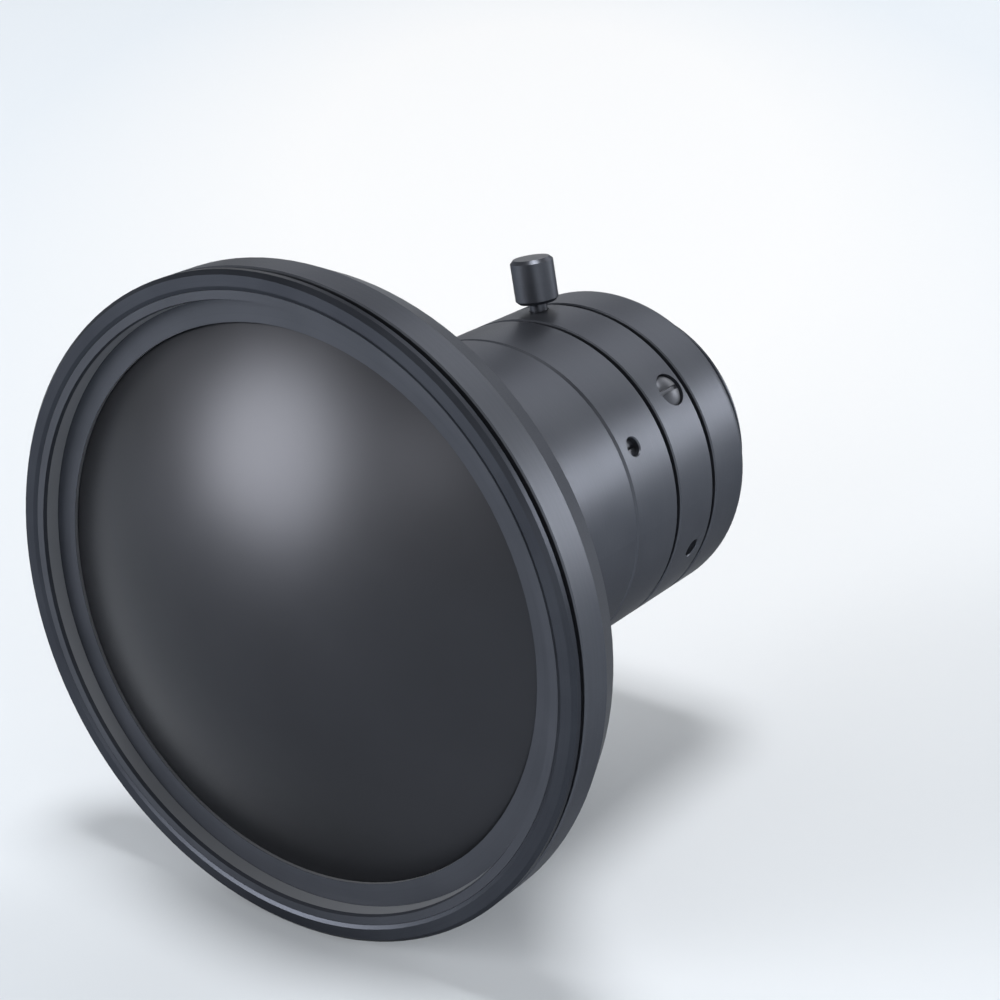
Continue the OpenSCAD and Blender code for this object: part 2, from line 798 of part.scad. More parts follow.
// Outline of a cam slot: out along one side of its path, round the end, and back
function cam_slot(r, n = 10) = let (far = blade_swing) concat(
    [for (i = [0:n]) let (b = far * i / n) cam_at(b) + polar(r, cam_heading(b) + 90)],
    [for (i = [1:round_steps - 1]) cam_at(far) + polar(r, cam_heading(far) + 90 - 180 * i / round_steps)],
    [for (i = [0:n]) let (b = far * (1 - i / n)) cam_at(b) + polar(r, cam_heading(b) - 90)],
    [for (i = [1:round_steps - 1]) cam_at(0) + polar(r, cam_heading(0) - 90 - 180 * i / round_steps)]
);

// Ring with the cam slots, turned by the guide screw
module iris_actuator() {
    color(brass)
        difference() {
            turned([
                [cover_in_r, actuator_z0],
                [actuator_r, actuator_z0],
                [actuator_r, actuator_z1],
                [cover_in_r, actuator_z1]
            ]);
            forward()
                for (i = [0:blade_count - 1])
                    rotate([0, 0, first_pivot + i * 360 / blade_count])
                        translate([0, 0, actuator_z0 - cut])
                            linear_extrude(actuator_z1 - actuator_z0 + 2 * cut)
                                polygon(cam_slot(drive_stud_d / 2 + run));
            radial_pin(guide_angle, iris_screw_z, actuator_r - guide_tip_in - run, actuator_r + cut,
                guide_tip_d / 2 + film);
        }
}

// One iris blade: a curved leaf with an ear that carries the pivot and drive studs
module iris_blade(i) {
    body_r = aperture_r + blade_w;
    z = blade_z + i * blade_step;
    pivot_z = iris_seat_z + blade_under;
    leaf = concat(
        arc([0, 0], aperture_r, blade_span, -4, 24),
        arc([pivot_r, 0], pivot_ear, -115, 0),
        arc(polar(pivot_r, stud_angle), drive_ear, stud_angle - 20, stud_angle + 100),
        arc([0, 0], body_r, stud_angle + 8, blade_span, 18)
    );
    color(dark_slate)
        forward()
            rotate([0, 0, first_pivot + i * 360 / blade_count]) {
                translate([0, 0, z])
                    linear_extrude(blade_t)
                        polygon(leaf);
                translate([pivot_r, 0, pivot_z])
                    cylinder(r = pivot_stud_d / 2, h = z + blade_t - pivot_z);
                translate(concat(stud_at(0), [z]))
                    cylinder(r = drive_stud_d / 2, h = actuator_z1 - drive_stud_short - z);
            }
}

module iris_blade_1() iris_blade(0);
module iris_blade_2() iris_blade(1);
module iris_blade_3() iris_blade(2);
module iris_blade_4() iris_blade(3);
module iris_blade_5() iris_blade(4);
module iris_blade_6() iris_blade(5);

// Focus ring with its three tapped holes
module focus_ring() {
    in_r = helicoid_r + film;
    color(slate)
        difference() {
            turned([
                [in_r, focus_z0],
                [barrel_r - edge_bevel, focus_z0],
                [barrel_r, focus_z0 + edge_bevel],
                [barrel_r, focus_z1 - joint_bevel],
                [barrel_r - joint_bevel, focus_z1],
                [in_r, focus_z1]
            ]);
            for (i = [0:2])
                tapped_hole(focus_screw_angle + 120 * i, focus_screw_z, in_r);
        }
}

// Set screws that clamp the focus ring on the helicoid ring
module focus_set_screws() {
    for (i = [0:2])
        set_screw(focus_screw_angle + 120 * i, focus_screw_z, helicoid_r - set_bite, barrel_r - set_sink);
}

// Helicoid ring: turns on the mount barrel and drives the thread on the front barrel
module helicoid_ring() {
    color(brass)
        difference() {
            turned([
                [journal_r + run, focus_z0],
                [helicoid_r, focus_z0],
                [helicoid_r, helicoid_z1],
                [female_thread_r, helicoid_z1],
                [female_thread_r, lip_z + lip_t],
                [lip_r, lip_z + lip_t],
                [lip_r, lip_z],
                [journal_r + run, lip_z]
            ]);
            for (i = [0:2])
                radial_pin(focus_screw_angle + 120 * i, focus_screw_z, helicoid_r - set_bite - run,
                    helicoid_r + cut, tapped_r);
        }
}

// Front barrel: rim, cone and neck, with the threaded tail that slides in the mount barrel
module front_barrel() {
    slot_z = guide_pin_z + guide_pin_d / 2 + tail_room;
    blend_z = cone_z - neck_blend * tan(cone_angle / 2);
    color(slate)
        difference() {
            turned(concat(
                [[tail_bore_r, tail_z],
                [tail_r, tail_z],
                [tail_r, male_z],
                [male_thread_r, male_z],
                [male_thread_r, pocket_z],
                [helicoid_r + pocket_gap, pocket_z],
                [helicoid_r + pocket_gap, neck_z],
                [barrel_r - joint_bevel, neck_z],
                [barrel_r, neck_z + joint_bevel]],
                arc([barrel_r + neck_blend, blend_z], neck_blend, 180, 180 - cone_angle),
                [[cone_top_r - rim_blend * cone_slope, rim_back_z - rim_blend],
                [cone_top_r + rim_blend, rim_back_z],
                [front_r - rim_bevel_in - back_edge, rim_back_z],
                [front_r - rim_bevel_in, bevel_z],
                [front_r, rim_z],
                [front_r, rim_front_z - edge_bevel],
                [front_r - edge_bevel, rim_front_z],
                [bezel_neck_r + seat, rim_front_z],
                [bezel_neck_r + seat, bezel_seat_z],
                [front_bore_r, bezel_seat_z],
                [front_bore_r, front_seat_z],
                [front_el_r - front_shelf, front_seat_z],
                [second_ring_r, second_z1 + film + second_ring_len + tail_room],
                [second_ring_r, second_z1],
                [second_bore_r, second_z1],
                [second_bore_r, second_seat_z],
                [second_el_r - second_shelf, second_seat_z],
                [second_el_r - second_shelf, second_seat_z - second_gap / 2],
                [inner_bore_r, inner_ring_z1 + 2 * tail_gap],
                [inner_bore_r, inner_seat_z],
                [tail_bore_r, inner_seat_z]]
            ));
            radial(270, tail_z)
                translate([tail_z - slot_z, -guide_pin_d / 2 - run, tail_bore_r - cut])
                    cube([slot_z - tail_z + cut, guide_pin_d + 2 * run, tail_wall + 2 * cut]);
        }
}

// Bezel ring at the very front, screwed into the rim
module front_bezel() {
    color(slate)
        turned([
            [bezel_in_r, bezel_seat_z],
            [bezel_neck_r, bezel_seat_z],
            [bezel_neck_r, bezel_z],
            [front_r, bezel_z],
            [front_r, front_z - bezel_bevel],
            [front_r - bezel_bevel, front_z],
            [bezel_in_r + bezel_inner_bevel, front_z],
            [bezel_in_r, front_z - ring_land_drop]
        ]);
}

// Stepped ring that holds the front element
module front_retaining_ring() {
    under = on_sphere(dome_c, dome_r, ring_clear_r) + film;
    rest = on_sphere(dome_c, dome_r, ring_rest_r) + film;
    land_z = front_z - ring_land_drop;
    wall_r = ring_r - ring_land_w;
    color(dark_slate)
        turned([
            [ring_clear_r, under],
            [ring_rest_r, rest],
            [ring_r, rest],
            [ring_r, land_z],
            [wall_r, land_z],
            [wall_r - ring_draft, land_z - ring_land_bevel],
            [wall_r - 2 * ring_draft, under + ring_lip_t],
            [ring_clear_r, under + ring_lip_t]
        ]);
}

// Domed front element, hollowed behind
module front_element() {
    hollow_c = front_seat_z - sqrt(front_hollow_r ^ 2 - (front_hollow_d / 2) ^ 2);
    color(glass_grey)
        forward()
            difference() {
                intersection() {
                    translate([0, 0, front_seat_z])
                        cylinder(r = front_el_r, h = front_el_edge + dome_r);
                    translate([0, 0, dome_c])
                        sphere(r = dome_r);
                }
                translate([0, 0, hollow_c])
                    sphere(r = front_hollow_r);
            }
}

// Second element, domed in front and deeply hollowed behind
module second_element() {
    hollow_c = second_seat_z - sqrt(second_hollow_r ^ 2 - (second_hollow_d / 2) ^ 2);
    color(glass_grey)
        forward()
            difference() {
                intersection() {
                    translate([0, 0, second_seat_z])
                        cylinder(r = second_el_r, h = second_el_edge + second_front_r);
                    translate([0, 0, second_c])
                        sphere(r = second_front_r);
                }
                translate([0, 0, hollow_c])
                    sphere(r = second_hollow_r);
            }
}

// Threaded ring in front of the second element
module second_retaining_ring() {
    in_r = second_el_r - second_ring_w;
    z0 = second_z1 + film;
    color(inner_black)
        turned([
            [in_r, on_sphere(second_c, second_front_r, in_r) + film],
            [second_el_r, z0],
            [second_ring_r - seat, z0],
            [second_ring_r - seat, z0 + second_ring_len],
            [in_r, z0 + second_ring_len]
        ]);
}

// Third element, flat behind and hollowed in front
module third_element() {
    hollow_c = third_z1 + sqrt(third_hollow_r ^ 2 - (inner_el_r - third_rim_w) ^ 2);
    color(glass_grey)
        forward()
            difference() {
                translate([0, 0, third_z0])
                    cylinder(r = inner_el_r, h = third_el_edge);
                translate([0, 0, hollow_c])
                    sphere(r = third_hollow_r);
            }
}

// Spacer between the third and fourth elements, its foot shaped to the dome
module front_group_spacer() {
    in_r = inner_el_r - spacer_wall;
    color(inner_black)
        turned([
            [in_r, on_sphere(fourth_c, fourth_front_r, in_r) + film],
            [inner_el_r, fourth_z1 + film],
            [inner_el_r, third_z0],
            [in_r, third_z0]
        ]);
}

// Fourth element, flat behind and domed in front
module fourth_element() {
    color(glass_grey)
        forward()
            intersection() {
                translate([0, 0, inner_seat_z])
                    cylinder(r = inner_el_r, h = fourth_el_edge + fourth_front_r);
                translate([0, 0, fourth_c])
                    sphere(r = fourth_front_r);
            }
}

// Threaded ring in front of the third element
module inner_retaining_ring() {
    color(inner_black)
        turned([
            [inner_el_r - spacer_wall, third_z1],
            [inner_bore_r - seat, third_z1],
            [inner_bore_r - seat, inner_ring_z1],
            [inner_el_r - spacer_wall, inner_ring_z1]
        ]);
}

mount_barrel();
mount_thread_ring();
rear_cell();
rear_doublet_crown();
rear_doublet_flint();
rear_spacer();
rear_element();
rear_retaining_ring();
iris_housing();
iris_cover();
iris_retaining_ring();
focus_retaining_ring();
focus_guide_pin();
iris_ring();
iris_guide_screw();
iris_set_screws();
iris_actuator();
iris_lock_screw();
iris_blade_1();
iris_blade_2();
iris_blade_3();
iris_blade_4();
iris_blade_5();
iris_blade_6();
focus_ring();
focus_set_screws();
helicoid_ring();
front_barrel();
front_bezel();
front_retaining_ring();
front_element();
second_element();
second_retaining_ring();
third_element();
front_group_spacer();
fourth_element();
inner_retaining_ring();
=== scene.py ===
import json
import math

import bmesh
import bpy
from mathutils import Matrix, Vector

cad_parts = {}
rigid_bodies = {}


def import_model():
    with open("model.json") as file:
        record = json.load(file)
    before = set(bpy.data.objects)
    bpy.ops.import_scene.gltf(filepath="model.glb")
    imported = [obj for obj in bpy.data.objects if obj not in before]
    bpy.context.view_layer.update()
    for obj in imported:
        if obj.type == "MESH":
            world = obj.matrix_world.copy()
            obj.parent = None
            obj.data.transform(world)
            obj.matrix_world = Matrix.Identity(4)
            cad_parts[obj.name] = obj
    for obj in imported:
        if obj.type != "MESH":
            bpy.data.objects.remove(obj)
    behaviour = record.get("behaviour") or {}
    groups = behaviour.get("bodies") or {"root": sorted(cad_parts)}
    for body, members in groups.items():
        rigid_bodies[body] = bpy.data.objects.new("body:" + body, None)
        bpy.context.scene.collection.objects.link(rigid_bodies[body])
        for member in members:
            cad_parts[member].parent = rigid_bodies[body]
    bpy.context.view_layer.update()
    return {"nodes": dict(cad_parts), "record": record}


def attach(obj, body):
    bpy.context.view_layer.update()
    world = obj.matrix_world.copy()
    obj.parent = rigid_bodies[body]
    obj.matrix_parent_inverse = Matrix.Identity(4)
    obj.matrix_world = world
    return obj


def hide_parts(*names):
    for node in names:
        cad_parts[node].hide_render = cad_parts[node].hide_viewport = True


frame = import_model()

nodes = frame["nodes"]
MM = 0.001

# Sizes that the part's source gives, in millimetres
THREAD_D = 25.4
THREAD_PITCH = 25.4 / 32
THREAD_DEPTH = 0.487
THREAD_LEN = 3.8
THREAD_BEVEL = 0.5
COLLAR_R = 13.1
COLLAR_LEN = 0.5
SPIGOT_R = 11.6
SPIGOT_LEN = 2.2
BORE_R = 10.18
DOME_R = 44.5
DOME_CENTRE = 9.666
DOME_EDGE_R = 25.0
DOME_SEAT = 42.98
HOLLOW_R = 19.75
HOLLOW_CENTRE = 31.402
HOLLOW_D = 32.0
REAR_R = 25.0
REAR_POLE = 3.4944
REAR_FLAT = 1.0
REAR_FLAT_R = 3000.0
REAR_EDGE_R = 7.94
REAR_FACE_R = 7.74
LOCK_ANGLE = math.radians(100.8)
IRIS_SCREW_Y = -8.25
FLOOR_Z = -28.1


# Finishes

# Lumps of the noises that cloud, mottle and roughen a surface, in metres
CLOUD = 0.006
GRAIN = 0.00012
FILM = 0.003
MOTTLE = 0.0009
HAZE = 0.012
DUST = 0.0003
COATING = 0.008
FIBRE = 0.002


class Finish:
    """A material and the small steps that its node tree is made of"""

    def __init__(self, name, colour, rough, metal=0.0, specular=0.5, edge=1.0):
        self.mat = bpy.data.materials.new(name)
        self.mat.use_nodes = True
        self.mat.diffuse_color = (*colour, 1)
        self.tree = self.mat.node_tree
        self.shader = self.tree.nodes["Principled BSDF"]
        self.shader.inputs["Base Color"].default_value = (*colour, 1)
        self.shader.inputs["Roughness"].default_value = rough
        self.shader.inputs["Metallic"].default_value = metal
        self.shader.inputs["Specular IOR Level"].default_value = specular
        self.shader.inputs["Specular Tint"].default_value = (edge, edge, edge, 1)
        self.place = self.tree.nodes.new("ShaderNodeTexCoord").outputs["Object"]

    def node(self, kind, **values):
        made = self.tree.nodes.new(kind)
        for key, value in values.items():
            setattr(made, key, value)
        return made

    def link(self, out, into):
        self.tree.links.new(out, into)

    def maths(self, what, *values):
        made = self.node("ShaderNodeMath", operation=what)
        for k, value in enumerate(values):
            if isinstance(value, (int, float)):
                made.inputs[k].default_value = value
            else:
                self.link(value, made.inputs[k])
        return made.outputs[0]

    def round_axis(self, centre=(0, 0, 0), axis=(0, 1, 0)):
        """Distance along an axis and out from it, so that a pattern follows the lathe's cut"""
        turn = Vector(axis).rotation_difference(Vector((0, 1, 0)))
        moved = self.node("ShaderNodeVectorMath", operation="SUBTRACT")
        self.link(self.place, moved.inputs[0])
        moved.inputs[1].default_value = centre
        turned = self.node("ShaderNodeMapping")
        self.link(moved.outputs[0], turned.inputs["Vector"])
        turned.inputs["Rotation"].default_value = turn.to_euler()
        parts = self.node("ShaderNodeSeparateXYZ")
        self.link(turned.outputs[0], parts.inputs[0])
        squares = [self.maths("MULTIPLY", parts.outputs[k], parts.outputs[k]) for k in (0, 2)]
        out = self.maths("SQRT", self.maths("ADD", *squares))
        return parts.outputs[1], out

    def noise(self, size, detail=2.0, vector=None, rough=0.5):
        """Noise whose lumps are about size metres across"""
        made = self.node("ShaderNodeTexNoise")
        made.inputs["Scale"].default_value = 1 / size
        made.inputs["Detail"].default_value = detail
        made.inputs["Roughness"].default_value = rough
        self.link(vector if vector is not None else self.place, made.inputs["Vector"])
        return made.outputs["Fac"]

    def rings(self, size, detail=3.0, **axis):
        """Fine rings left by the lathe's tool, size metres from one to the next"""
        along, out = self.round_axis(**axis)
        both = self.node("ShaderNodeCombineXYZ")
        self.link(along, both.inputs[0])
        self.link(out, both.inputs[1])
        return self.noise(size, detail, both.outputs[0], 0.6)

    def spread(self, fac, low, high, start=0.3, end=0.7):
        made = self.node("ShaderNodeMapRange")
        made.inputs["From Min"].default_value = start
        made.inputs["From Max"].default_value = end
        made.inputs["To Min"].default_value = low
        made.inputs["To Max"].default_value = high
        self.link(fac, made.inputs["Value"])
        return made.outputs[0]

    def blend(self, fac, low, high):
        made = self.node("ShaderNodeMix", data_type="RGBA")
        self.link(fac, made.inputs["Factor"])
        for socket, tone in ((made.inputs[6], low), (made.inputs[7], high)):
            if isinstance(tone, tuple):
                socket.default_value = (*tone, 1)
            else:
                self.link(tone, socket)
        return made.outputs[2]

    def colour(self, socket):
        self.link(socket, self.shader.inputs["Base Color"])

    def roughness(self, socket):
        self.link(socket, self.shader.inputs["Roughness"])

    def relief(self, height, depth, strength=1.0, over=None):
        """Bump of a given depth in metres, on top of an earlier one"""
        made = self.node("ShaderNodeBump")
        made.inputs["Strength"].default_value = strength
        made.inputs["Distance"].default_value = depth
        self.link(height, made.inputs["Height"])
        if over is not None:
            self.link(over, made.inputs["Normal"])
        self.link(made.outputs[0], self.shader.inputs["Normal"])
        return made.outputs[0]


def anodised(name, tones, rough, metal=0.85, edge=0.35, rings=0.00016, painted_highlight_bands=(), **axis):
    """Turned aluminium, bead blasted a little and anodised: rings, a fine grain, a cloudy tone. Each pair in
    the painted highlight bands holds two places along the axis, and between them a lighter colour is painted
    in as a painted highlight"""
    dark, light = tones
    spread = 0.04
    f = Finish(name, dark, rough, metal, edge=edge)
    cloud = f.noise(CLOUD, 3.0)
    grain = f.noise(GRAIN, 2.0)
    tool = f.rings(rings, **axis)
    tone = f.maths("ADD", f.maths("MULTIPLY", cloud, 0.6), f.maths("MULTIPLY", tool, 0.4))
    film = f.blend(f.spread(tone, 0.0, 1.0, 0.35, 0.65), dark, light)
    # Painted highlight: between each pair of places the colour is blended to a lighter one, a painted
    # reflection of light on the wall
    for low, high in painted_highlight_bands:
        along = f.round_axis(**axis)[0]
        beyond = f.maths("GREATER_THAN", along, low * MM)
        highlight_band = f.maths("MULTIPLY", beyond, f.maths("LESS_THAN", along, high * MM))
        film = f.blend(highlight_band, film, RING_WALL_PAINTED_HIGHLIGHT)
    f.colour(film)
    f.roughness(f.spread(f.maths("ADD", f.maths("MULTIPLY", cloud, 0.5), f.maths("MULTIPLY", grain, 0.5)),
                         rough - spread, rough + spread, 0.35, 0.65))
    first = f.relief(tool, 1.2e-6, 0.7)
    f.relief(grain, 1.0e-6, 0.5, first)
    return f.mat


def plain_metal(name, colour, worn, rough):
    """Bare turned metal with its tool marks and a slightly duller film in places"""
    f = Finish(name, colour, rough, 1.0)
    film = f.noise(FILM, 4.0)
    tool = f.rings(0.00012)
    f.colour(f.blend(f.spread(film, 0.0, 1.0), colour, worn))
    f.roughness(f.spread(tool, rough - 0.07, rough + 0.09))
    f.relief(tool, 2.0e-6, 0.6)
    return f.mat


def black_steel(name, tones, rough, size=0.0001, depth=1.5e-6, metal=0.0):
    """Chemically blackened steel: a mottled tone and a fine pitted grain"""
    dark, light = tones
    f = Finish(name, dark, rough, metal)
    mottle = f.noise(MOTTLE, 4.0)
    grain = f.noise(size, 2.0)
    f.colour(f.blend(f.spread(mottle, 0.0, 1.0), dark, light))
    f.roughness(f.spread(mottle, rough - 0.06, rough + 0.06))
    f.relief(grain, depth, 0.5)
    return f.mat


def matt_black(name):
    """Dead black inside finish with the fine steps of a baffle thread"""
    f = Finish(name, (0.012, 0.012, 0.013), 0.62, 0.0, 0.35)
    steps = f.rings(0.00025, 1.0)
    grain = f.noise(0.0002, 2.0)
    f.colour(f.blend(f.spread(grain, 0.0, 1.0), (0.010, 0.010, 0.011), (0.018, 0.018, 0.020)))
    f.roughness(f.spread(grain, 0.55, 0.70))
    f.relief(steps, 6.0e-6, 0.8)
    return f.mat


def dome_glaze(name):
    """The front element, coated so that it looks dark and satin from outside"""
    f = Finish(name, (0.040, 0.041, 0.045), 0.35, 0.95, edge=0.8)
    haze = f.noise(HAZE, 3.0)
    dust = f.noise(DUST, 2.0)
    f.colour(f.blend(f.spread(haze, 0.0, 1.0), (0.038, 0.039, 0.044), (0.042, 0.043, 0.049)))
    f.roughness(f.spread(f.maths("ADD", f.maths("MULTIPLY", haze, 0.7), f.maths("MULTIPLY", dust, 0.3)),
                         0.33, 0.37, 0.35, 0.65))
    f.relief(dust, 4.0e-7, 0.25)
    return f.mat


def polished_glass(name, colour):
    """Polished and coated inner elements"""
    f = Finish(name, colour, 0.03, 0.0, 0.5)
    f.shader.inputs["Transmission Weight"].default_value = 1.0
    f.shader.inputs["IOR"].default_value = 1.62
    film = f.noise(COATING, 2.0)
    f.colour(f.blend(f.spread(film, 0.0, 1.0), colour, tuple(c * 0.94 for c in colour)))
    f.roughness(f.spread(film, 0.02, 0.05))
    return f.mat


# The dark and the light tone that each finish clouds between
SLATE = ((0.076, 0.081, 0.096), (0.091, 0.097, 0.113))
LOCK_SLATE = ((0.070, 0.075, 0.089), (0.085, 0.090, 0.105))
BEZEL_SLATE = ((0.033, 0.036, 0.045), (0.040, 0.044, 0.054))
RING_SLATE = ((0.036, 0.040, 0.050), (0.044, 0.048, 0.060))
THREAD_SLATE = ((0.070, 0.075, 0.090), (0.085, 0.090, 0.108))
SCREW_BLACK = ((0.085, 0.090, 0.104), (0.105, 0.110, 0.126))
BLADE_BLACK = ((0.020, 0.020, 0.022), (0.034, 0.034, 0.037))
# Lighter colour painted on the retaining ring's inner wall and edge as a painted highlight, standing in for
# reflected light
RING_WALL_PAINTED_HIGHLIGHT = (0.26, 0.27, 0.29)
# Inner wall and inner edge of the retaining ring, as places along the lens axis, where the colour is painted
# lighter as a painted highlight
RING_HIGHLIGHT_BANDS = ((-48.93, -47.76), (-47.69, -47.30))
LOCK_AXIS = (math.cos(LOCK_ANGLE), 0, math.sin(LOCK_ANGLE))

finishes = {
    "barrel_finish": anodised("satin slate anodised", SLATE, 0.42),
    # The ring finish carries painted highlight bands on its inner wall and inner edge
    "ring_finish": anodised("dark satin anodised", RING_SLATE, 0.42, metal=0.4, edge=0.4, painted_highlight_bands=RING_HIGHLIGHT_BANDS),
    "screw_finish": black_steel("blackened screws", SCREW_BLACK, 0.46, metal=0.85),
    "inner_black": matt_black("matt black inside"),
    "brass": plain_metal("turned brass", (0.62, 0.44, 0.19), (0.50, 0.35, 0.15), 0.28),
    "steel": plain_metal("ground steel", (0.48, 0.48, 0.50), (0.38, 0.38, 0.40), 0.30),
    "blade_steel": black_steel("blackened blades", BLADE_BLACK, 0.46, size=0.00006, depth=1e-6),
    "front_glass": dome_glaze("front element, coated"),
    "inner_glass": polished_glass("inner glass, coated", (0.80, 0.86, 0.84)),
}
own_finish = {
    "iris_lock_screw": anodised("lock screw, satin slate", LOCK_SLATE, 0.36, rings=0.0001,
                                centre=(0, IRIS_SCREW_Y * MM, 0), axis=LOCK_AXIS),
    "front_bezel": anodised("bezel, darker slate", BEZEL_SLATE, 0.38, edge=0.4),
}
for part in frame["record"]["subparts"]:
    node = nodes[part["node"]]
    if not node.material_slots:
        node.data.materials.append(None)
    for slot in node.material_slots:
        slot.material = own_finish.get(part["node"], finishes[part["material_slot"]])


# Turned pieces: the mount's screw thread, the domed front element and the rear lens

class Tree:
    """A geometry tree under construction"""

    def __init__(self, name):
        self.group = bpy.data.node_groups.new(name, "GeometryNodeTree")
        self.group.interface.new_socket("Geometry", in_out="INPUT", socket_type="NodeSocketGeometry")
        self.group.interface.new_socket("Geometry", in_out="OUTPUT", socket_type="NodeSocketGeometry")
        self.ids = {}
        self.start = self.group.nodes.new("NodeGroupInput")
        self.end = self.group.nodes.new("NodeGroupOutput")

    def size(self, name, kind, value):
        made = self.group.interface.new_socket(name, in_out="INPUT", socket_type=kind)
        if value is not None:
            made.default_value = value
        self.ids[name] = made.identifier
        return self.start.outputs[name]

    def node(self, kind, inputs=(), **values):
        made = self.group.nodes.new(kind)
        for key, value in values.items():
            setattr(made, key, value)
        for key, value in dict(inputs).items():
            self.put(made.inputs[key], value)
        return made

    def put(self, socket, value):
        if isinstance(value, bpy.types.NodeSocket):
            self.group.links.new(value, socket)
        else:
            socket.default_value = value

    def maths(self, what, *values):
        made = self.node("ShaderNodeMath", operation=what)
        for k, value in enumerate(values):
            self.put(made.inputs[k], value)
        return made.outputs[0]

    def pick(self, index, values):
        """The value that stands at index in a list"""
        made = self.node("GeometryNodeIndexSwitch", data_type="FLOAT")
        while len(made.index_switch_items) < len(values):
            made.index_switch_items.new()
        self.put(made.inputs["Index"], index)
        for k, value in enumerate(values):
            self.put(made.inputs[k + 1], value)
        return made.outputs[0]

    def turn(self, mesh, u, along, out, finish):
        """Bends a flat grid round the lens axis, given in millimetres, closes it and gives it its finish"""
        angle = self.maths("MULTIPLY", u, math.tau)
        sideways = self.maths("MULTIPLY", out, self.maths("SINE", angle))
        upward = self.maths("MULTIPLY", out, self.maths("COSINE", angle))
        place = self.node("ShaderNodeCombineXYZ", {0: sideways, 1: along, 2: upward})
        scaled = self.node("ShaderNodeVectorMath", {0: place.outputs[0], "Scale": MM}, operation="SCALE")
        moved = self.node("GeometryNodeSetPosition", {"Geometry": mesh, "Position": scaled.outputs[0]})
        closed = self.node("GeometryNodeMergeByDistance", {"Geometry": moved.outputs[0], "Distance": 2e-6})
        real = self.node("GeometryNodeRealizeInstances", {"Geometry": closed.outputs[0]})
        dressed = self.node("GeometryNodeSetMaterial", {"Geometry": real.outputs[0], "Material": finish})
        self.group.links.new(dressed.outputs[0], self.end.inputs[0])

    def grid_rows(self, around, rows):
        """A flat grid one unit wide, with each point's share of the way round and its row number"""
        grid = self.node("GeometryNodeMeshGrid", {"Size X": 1.0, "Size Y": 1.0, "Vertices Y": rows,
                                                  "Vertices X": self.maths("ADD", around, 1.0)})
        spot = self.node("ShaderNodeSeparateXYZ", {0: self.node("GeometryNodeInputPosition").outputs[0]})
        u = self.maths("ADD", spot.outputs[0], 0.5)
        share = self.maths("ADD", spot.outputs[1], 0.5)
        row = self.maths("ROUND", self.maths("MULTIPLY", share, self.maths("SUBTRACT", rows, 1.0)))
        return grid.outputs["Mesh"], u, row


def thread_tree():
    """A tube with an outside screw thread, whose rows follow the helix, so crests and roots stay crisp"""
    t = Tree("screw_thread")
    major = t.size("Major radius", "NodeSocketFloat", THREAD_D / 2)
    pitch = t.size("Pitch", "NodeSocketFloat", THREAD_PITCH)
    depth = t.size("Depth", "NodeSocketFloat", THREAD_DEPTH)
    relief = t.size("Relief length", "NodeSocketFloat", 0.45)
    length = t.size("Length", "NodeSocketFloat", THREAD_LEN)
    bevel = t.size("Bevel", "NodeSocketFloat", THREAD_BEVEL)
    collar_r = t.size("Collar radius", "NodeSocketFloat", COLLAR_R)
    collar_len = t.size("Collar length", "NodeSocketFloat", COLLAR_LEN)
    spigot_r = t.size("Spigot radius", "NodeSocketFloat", SPIGOT_R)
    spigot_len = t.size("Spigot length", "NodeSocketFloat", SPIGOT_LEN)
    bore_r = t.size("Bore radius", "NodeSocketFloat", BORE_R)
    turns = t.size("Turns", "NodeSocketInt", 6)
    around = t.size("Segments", "NodeSocketInt", 180)
    finish = t.size("Finish", "NodeSocketMaterial", None)
    m = t.maths

    # One pitch of the thread, as the share of the pitch and the share of the depth at each row
    share = [0.0, 0.0625, 0.125, 0.2135, 0.302, 0.3905, 0.479, 0.5625, 0.646, 0.7345, 0.823, 0.9115]
    deep = [0.0, 0.0, 0.0, 0.25, 0.5, 0.75, 0.97, 1.0, 0.97, 0.75, 0.5, 0.25]
    per_turn = len(share)
    root = m("SUBTRACT", major, depth)
    back = m("MULTIPLY", spigot_len, -1.0)
    mouth_wide, mouth_deep = 0.35, 0.3
    bore_bevel, spigot_bevel = 0.2, 0.15
    start_slope = 1.4
    # The rows that close the tube, from the thread's rear end through the bore and round the collar
    ends = [
        (length, m("ADD", bore_r, mouth_wide)), (m("SUBTRACT", length, mouth_deep), bore_r),
        (m("ADD", back, bore_bevel), bore_r), (back, m("ADD", bore_r, bore_bevel)),
        (back, m("SUBTRACT", spigot_r, spigot_bevel)), (m("ADD", back, spigot_bevel), spigot_r),
        (m("MULTIPLY", collar_len, -1.0), spigot_r), (m("MULTIPLY", collar_len, -1.0), collar_r),
        (0.0, collar_r), (0.0, root), (relief, root),
    ]
    thread_rows = m("MULTIPLY", turns, float(per_turn))
    rows = m("ADD", thread_rows, float(len(ends)))
    flat, u, row = t.grid_rows(around, rows)
    turn_no = m("FLOOR", m("DIVIDE", m("ADD", row, 0.5), float(per_turn)))
    within = m("SUBTRACT", row, m("MULTIPLY", turn_no, float(per_turn)))
    level = m("ADD", m("SUBTRACT", turn_no, 1.0), m("ADD", t.pick(within, share), u))
    raw = m("ADD", relief, m("MULTIPLY", level, pitch))
    y_thread = m("MINIMUM", m("MAXIMUM", raw, relief), length)
    crest = m("SUBTRACT", major, m("MULTIPLY", depth, t.pick(within, deep)))
    run_in = m("ADD", root, m("MULTIPLY", m("SUBTRACT", y_thread, relief), start_slope))
    run_out = m("SUBTRACT", major, m("SUBTRACT", y_thread, m("SUBTRACT", length, bevel)))
    r_thread = m("MINIMUM", crest, m("MINIMUM", run_in, run_out))
    last = m("SUBTRACT", row, thread_rows)
    in_thread = m("LESS_THAN", row, m("SUBTRACT", thread_rows, 0.5))
    other = m("SUBTRACT", 1.0, in_thread)
    end_y, end_r = (m("MULTIPLY", t.pick(last, [e[k] for e in ends]), other) for k in (0, 1))
    y = m("ADD", m("MULTIPLY", y_thread, in_thread), end_y)
    r = m("ADD", m("MULTIPLY", r_thread, in_thread), end_r)
    t.turn(flat, u, y, r, finish)
    return t


